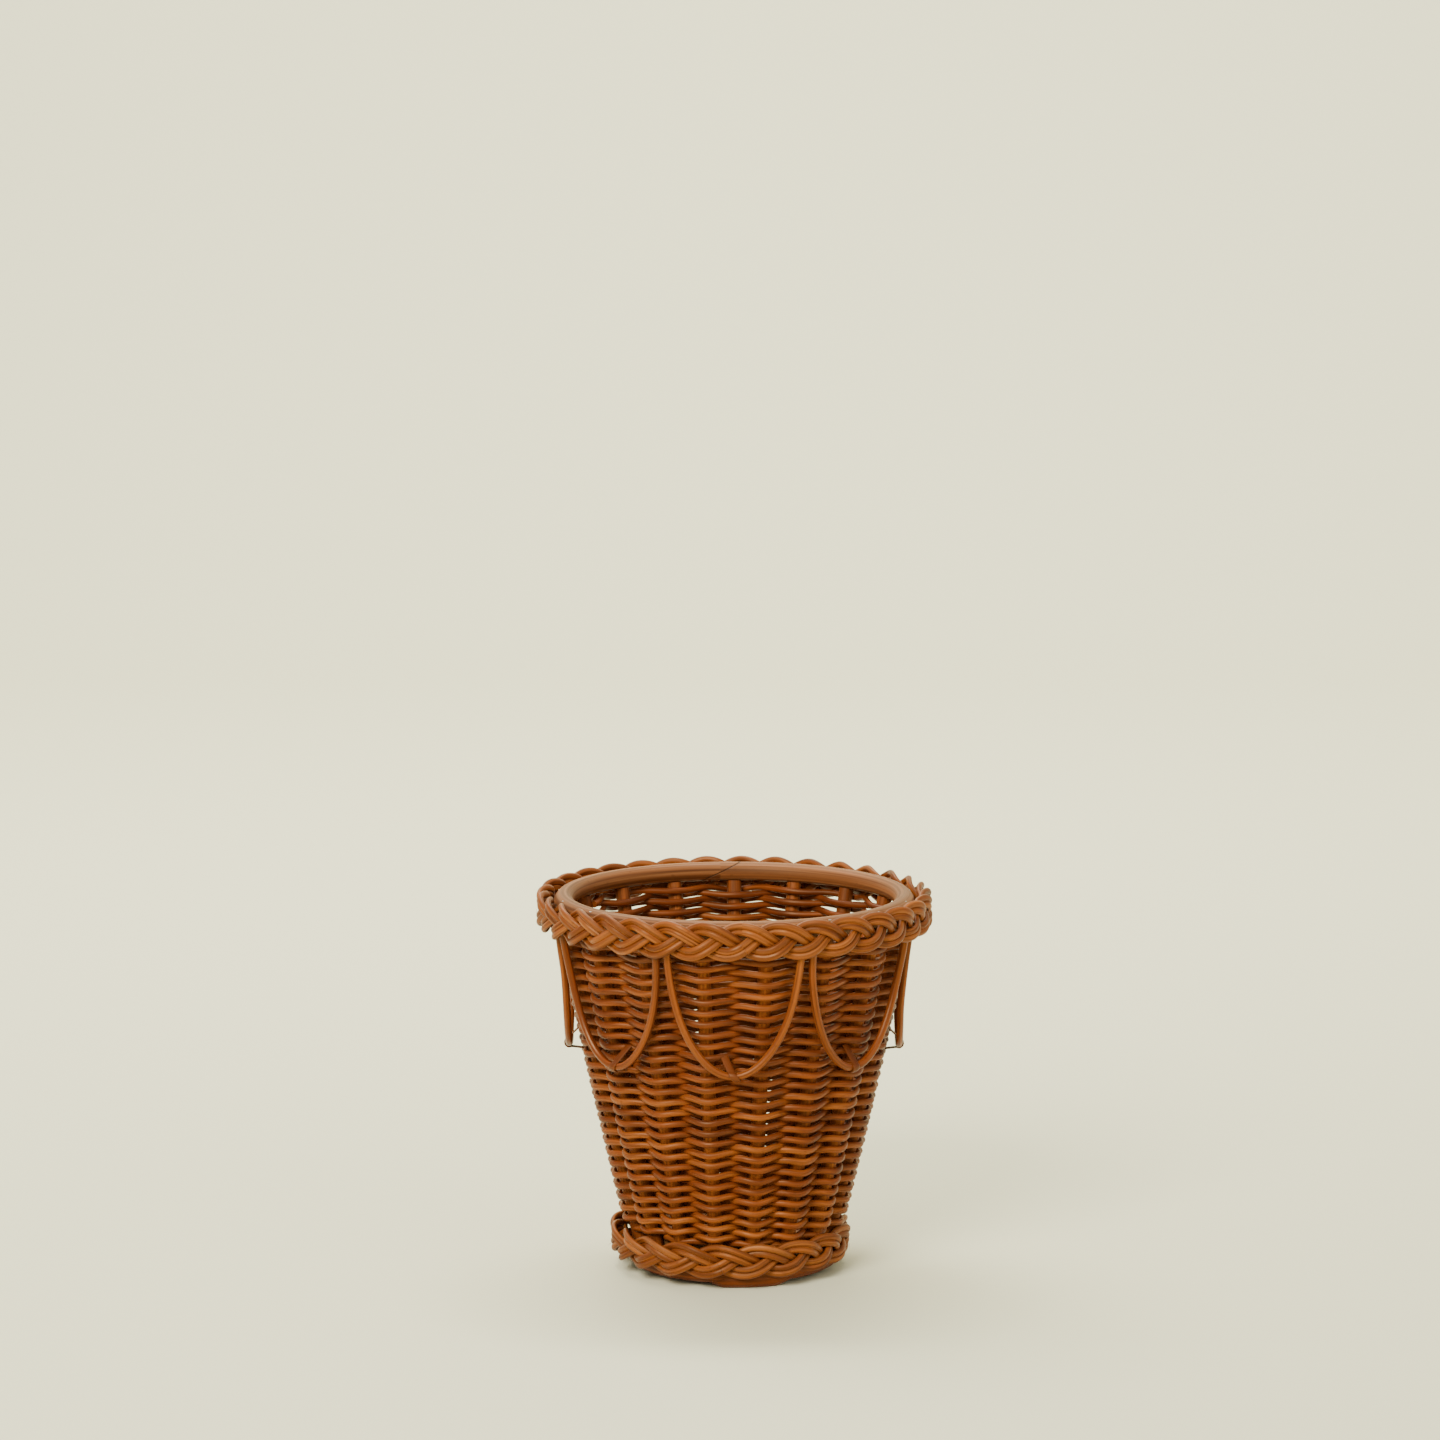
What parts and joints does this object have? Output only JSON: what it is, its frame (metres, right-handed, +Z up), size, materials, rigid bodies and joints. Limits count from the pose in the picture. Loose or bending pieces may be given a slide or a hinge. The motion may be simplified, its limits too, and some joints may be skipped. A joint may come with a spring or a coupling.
{
  "type": "wastebasket",
  "caption": "Tapered round wastebasket woven in rattan, open at the top, with plaited bands at rim and foot and a row of hanging loops.",
  "frame": {"origin": "on the floor, at the middle of the basket", "axes": "+Z up, -Y to the front, where one hanging loop is centred"},
  "size_m": [0.2912, 0.2914, 0.2825],
  "materials": {
    "stake_rattan": "oiled, fine grain along the pole",
    "weave_reed": "stained reed, satin, colour varies from reed to reed",
    "hoop_rattan": "peeled pole, satin, long grain",
    "foot_rattan": "peeled pole, satin",
    "board_wood": "plain board, lightly stained",
    "plait_reed": "stained reed, satin",
    "loop_rattan": "stained rattan rod, satin",
    "tie_cane": "flat cane, satin skin",
    "brad_steel": "plain steel wire"
  },
  "bodies": {
    "root": {"base_board": "board_wood", "board_brads": "brad_steel", "foot_plait_strand_1": "plait_reed", "foot_plait_strand_2": "plait_reed", "foot_plait_strand_3": "plait_reed", "foot_ring_rod_1": "foot_rattan", "foot_ring_rod_2": "foot_rattan", "foot_ring_rod_3": "foot_rattan", "hanging_loop_1": "loop_rattan", "hanging_loop_2": "loop_rattan", "hanging_loop_3": "loop_rattan", "hanging_loop_4": "loop_rattan", "hanging_loop_5": "loop_rattan", "hanging_loop_6": "loop_rattan", "hanging_loop_7": "loop_rattan", "hanging_loop_8": "loop_rattan", "loop_ties": "tie_cane", "rim_brads": "brad_steel", "rim_plait_strand_1": "plait_reed", "rim_plait_strand_2": "plait_reed", "rim_plait_strand_3": "plait_reed", "stake_01": "stake_rattan", "stake_02": "stake_rattan", "stake_03": "stake_rattan", "stake_04": "stake_rattan", "stake_05": "stake_rattan", "stake_06": "stake_rattan", "stake_07": "stake_rattan", "stake_08": "stake_rattan", "stake_09": "stake_rattan", "stake_10": "stake_rattan", "stake_11": "stake_rattan", "stake_12": "stake_rattan", "stake_13": "stake_rattan", "stake_14": "stake_rattan", "stake_15": "stake_rattan", "stake_16": "stake_rattan", "stake_17": "stake_rattan", "top_hoop": "hoop_rattan", "weaver_01": "weave_reed", "weaver_02": "weave_reed", "weaver_03": "weave_reed", "weaver_04": "weave_reed", "weaver_05": "weave_reed", "weaver_06": "weave_reed", "weaver_07": "weave_reed", "weaver_08": "weave_reed", "weaver_09": "weave_reed", "weaver_10": "weave_reed", "weaver_11": "weave_reed", "weaver_12": "weave_reed"}
  },
  "joints": []
}
